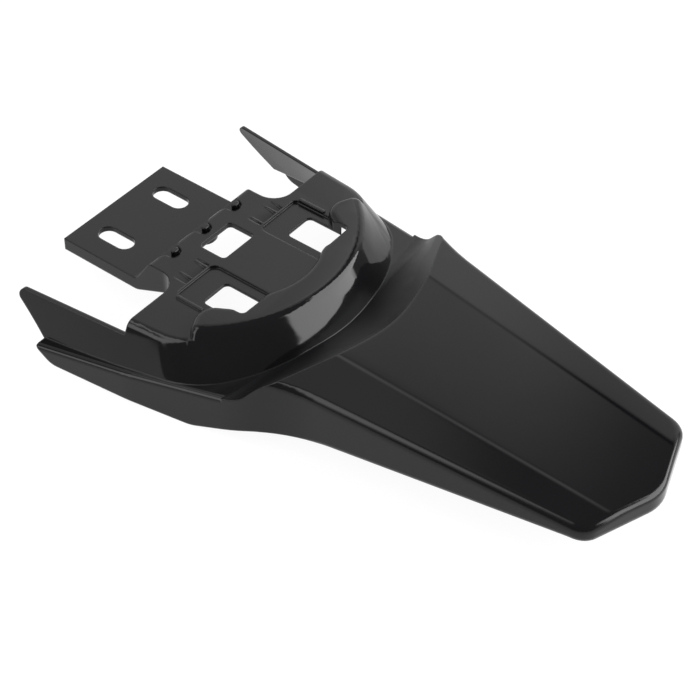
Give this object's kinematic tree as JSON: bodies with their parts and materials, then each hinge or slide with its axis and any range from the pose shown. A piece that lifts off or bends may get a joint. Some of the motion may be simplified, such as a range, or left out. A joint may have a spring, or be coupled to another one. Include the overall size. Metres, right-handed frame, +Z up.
{
  "type": "motorcycle mudguard",
  "caption": "Rear motorcycle mudguard moulded in one piece: slotted mounting plate, stepped deck with windows, raised horseshoe rim, forward prongs, skirts and a creased tail blade.",
  "frame": {"origin": "midway between the two slots on the top face of the mounting plate", "axes": "+X to the tail, +Y to the rider's right, +Z up out of the mounting plate; the part is a mirror image about the XZ plane"},
  "size_m": [0.3517, 0.201, 0.0488],
  "materials": {
    "moulding": "gloss black moulded plastic"
  },
  "bodies": {
    "root": {"mudguard": "moulding"}
  },
  "joints": []
}
